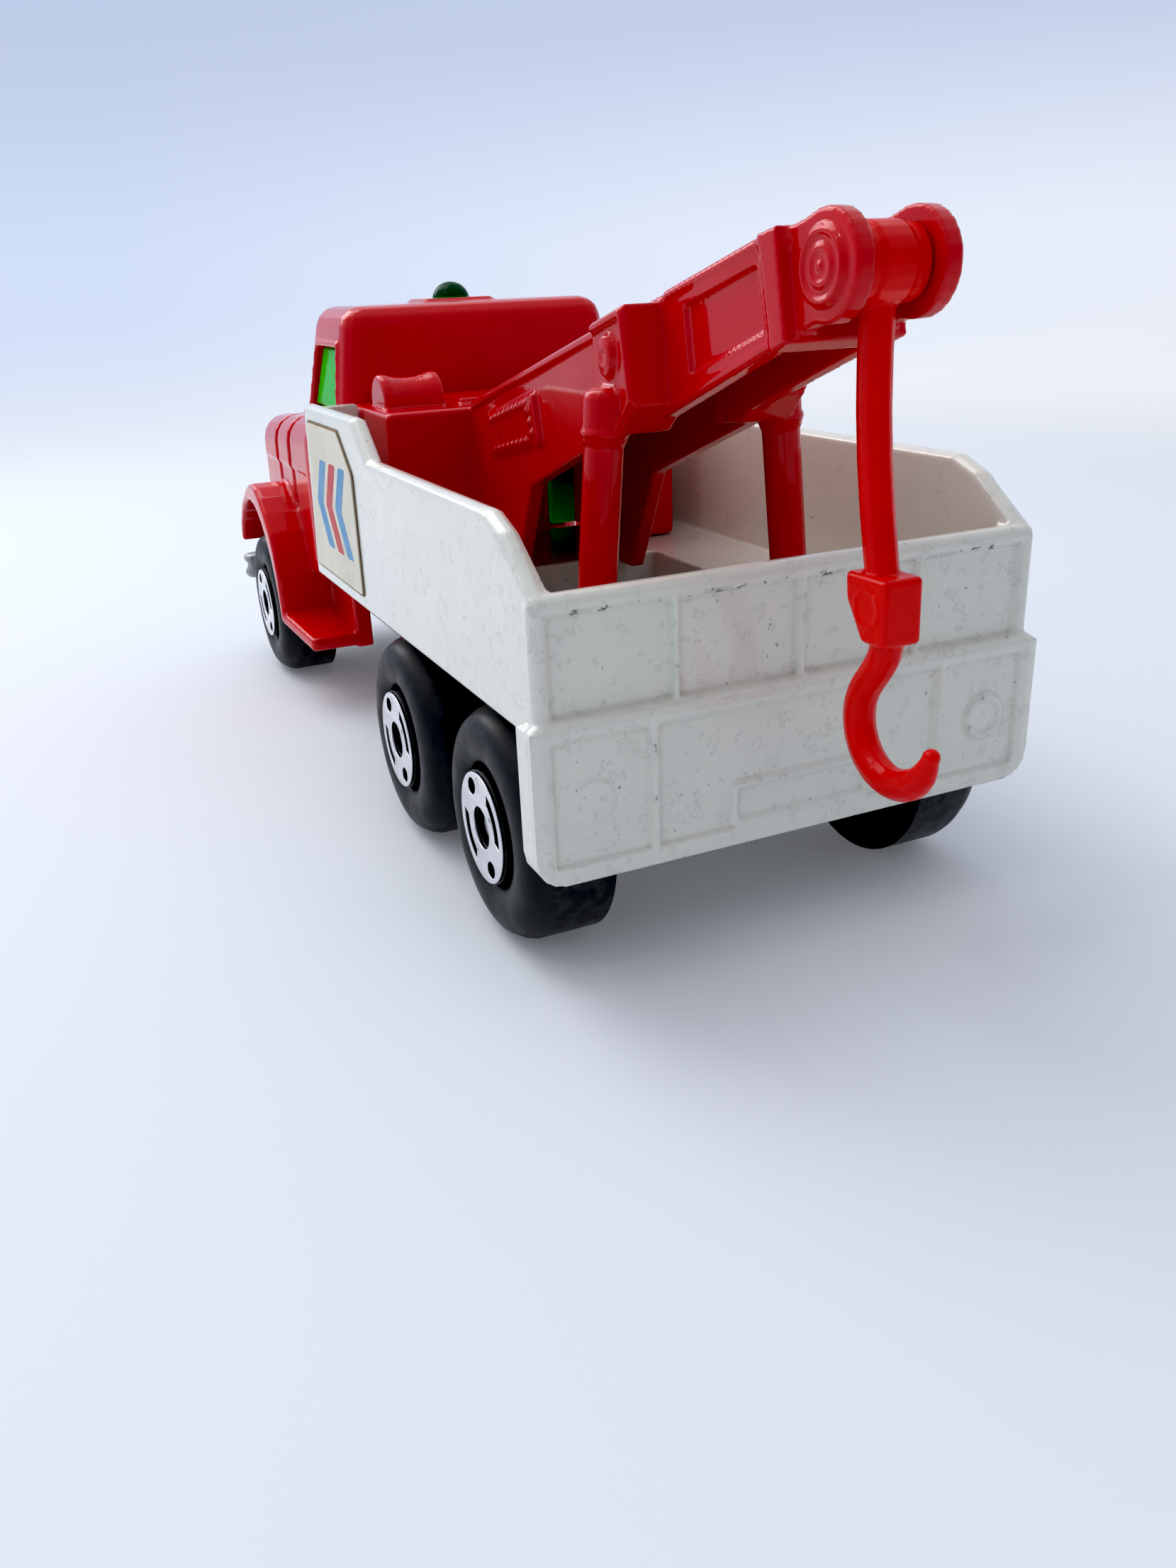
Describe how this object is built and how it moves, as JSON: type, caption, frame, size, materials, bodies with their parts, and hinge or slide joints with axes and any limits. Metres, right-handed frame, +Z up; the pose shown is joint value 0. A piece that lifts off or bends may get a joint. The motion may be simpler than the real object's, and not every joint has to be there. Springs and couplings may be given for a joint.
{
  "type": "toy tow truck",
  "caption": "Die-cast toy wrecker truck with an open bed, a fixed inclined boom, a swinging plastic tow hook and free-running wheels.",
  "frame": {"origin": "on the ground under the middle of the truck's bounding box", "axes": "+X forwards towards the bonnet, +Y to the truck's left, +Z up"},
  "size_m": [0.0776, 0.0262, 0.0316],
  "materials": {
    "red_enamel": "deep gloss red enamel on zinc alloy",
    "white_enamel": "gloss warm white enamel on zinc alloy, chipped on its rims",
    "green_plastic": "clear bright green polystyrene",
    "orange_red_plastic": "semi-gloss orange-red plastic",
    "bare_metal": "dull grey unpainted zinc alloy",
    "steel_wire": "drawn steel wire",
    "black_plastic": "satin black plastic",
    "silver_foil": "hot-stamped silver foil",
    "paper_label": "cream paper label"
  },
  "bodies": {
    "truck": {"cab_casting": "red_enamel", "window_insert": "green_plastic", "truck_bed": "white_enamel", "crane_casting": "red_enamel", "chassis_base": "bare_metal", "axle_rear": "steel_wire", "axle_middle": "steel_wire", "axle_front": "steel_wire", "label_left": "paper_label", "label_right": "paper_label"},
    "hook": {"tow_hook": "orange_red_plastic"},
    "wheel_rear_left_body": {"wheel_rear_left": "black_plastic", "hub_foil_rear_left": "silver_foil"},
    "wheel_rear_right_body": {"wheel_rear_right": "black_plastic", "hub_foil_rear_right": "silver_foil"},
    "wheel_middle_left_body": {"wheel_middle_left": "black_plastic", "hub_foil_middle_left": "silver_foil"},
    "wheel_middle_right_body": {"wheel_middle_right": "black_plastic", "hub_foil_middle_right": "silver_foil"},
    "wheel_front_left_body": {"wheel_front_left": "black_plastic", "hub_foil_front_left": "silver_foil"},
    "wheel_front_right_body": {"wheel_front_right": "black_plastic", "hub_foil_front_right": "silver_foil"}
  },
  "joints": [
    {"name": "hook_swing", "type": "hinge", "parent": "truck", "child": "hook", "pos_m": [-0.03376, 0, 0.0296], "axis": [0, 1, 0], "range_deg": [-7, 215]},
    {"name": "wheel_rear_left_spin", "type": "hinge", "parent": "truck", "child": "wheel_rear_left_body", "pos_m": [-0.02246, 0.0104, 0.00572], "axis": [0, 1, 0], "continuous": true},
    {"name": "wheel_rear_right_spin", "type": "hinge", "parent": "truck", "child": "wheel_rear_right_body", "pos_m": [-0.02246, -0.0104, 0.00572], "axis": [0, 1, 0], "continuous": true},
    {"name": "wheel_middle_left_spin", "type": "hinge", "parent": "truck", "child": "wheel_middle_left_body", "pos_m": [-0.00866, 0.0104, 0.00572], "axis": [0, 1, 0], "continuous": true},
    {"name": "wheel_middle_right_spin", "type": "hinge", "parent": "truck", "child": "wheel_middle_right_body", "pos_m": [-0.00866, -0.0104, 0.00572], "axis": [0, 1, 0], "continuous": true},
    {"name": "wheel_front_left_spin", "type": "hinge", "parent": "truck", "child": "wheel_front_left_body", "pos_m": [0.02874, 0.0104, 0.00572], "axis": [0, 1, 0], "continuous": true},
    {"name": "wheel_front_right_spin", "type": "hinge", "parent": "truck", "child": "wheel_front_right_body", "pos_m": [0.02874, -0.0104, 0.00572], "axis": [0, 1, 0], "continuous": true}
  ]
}
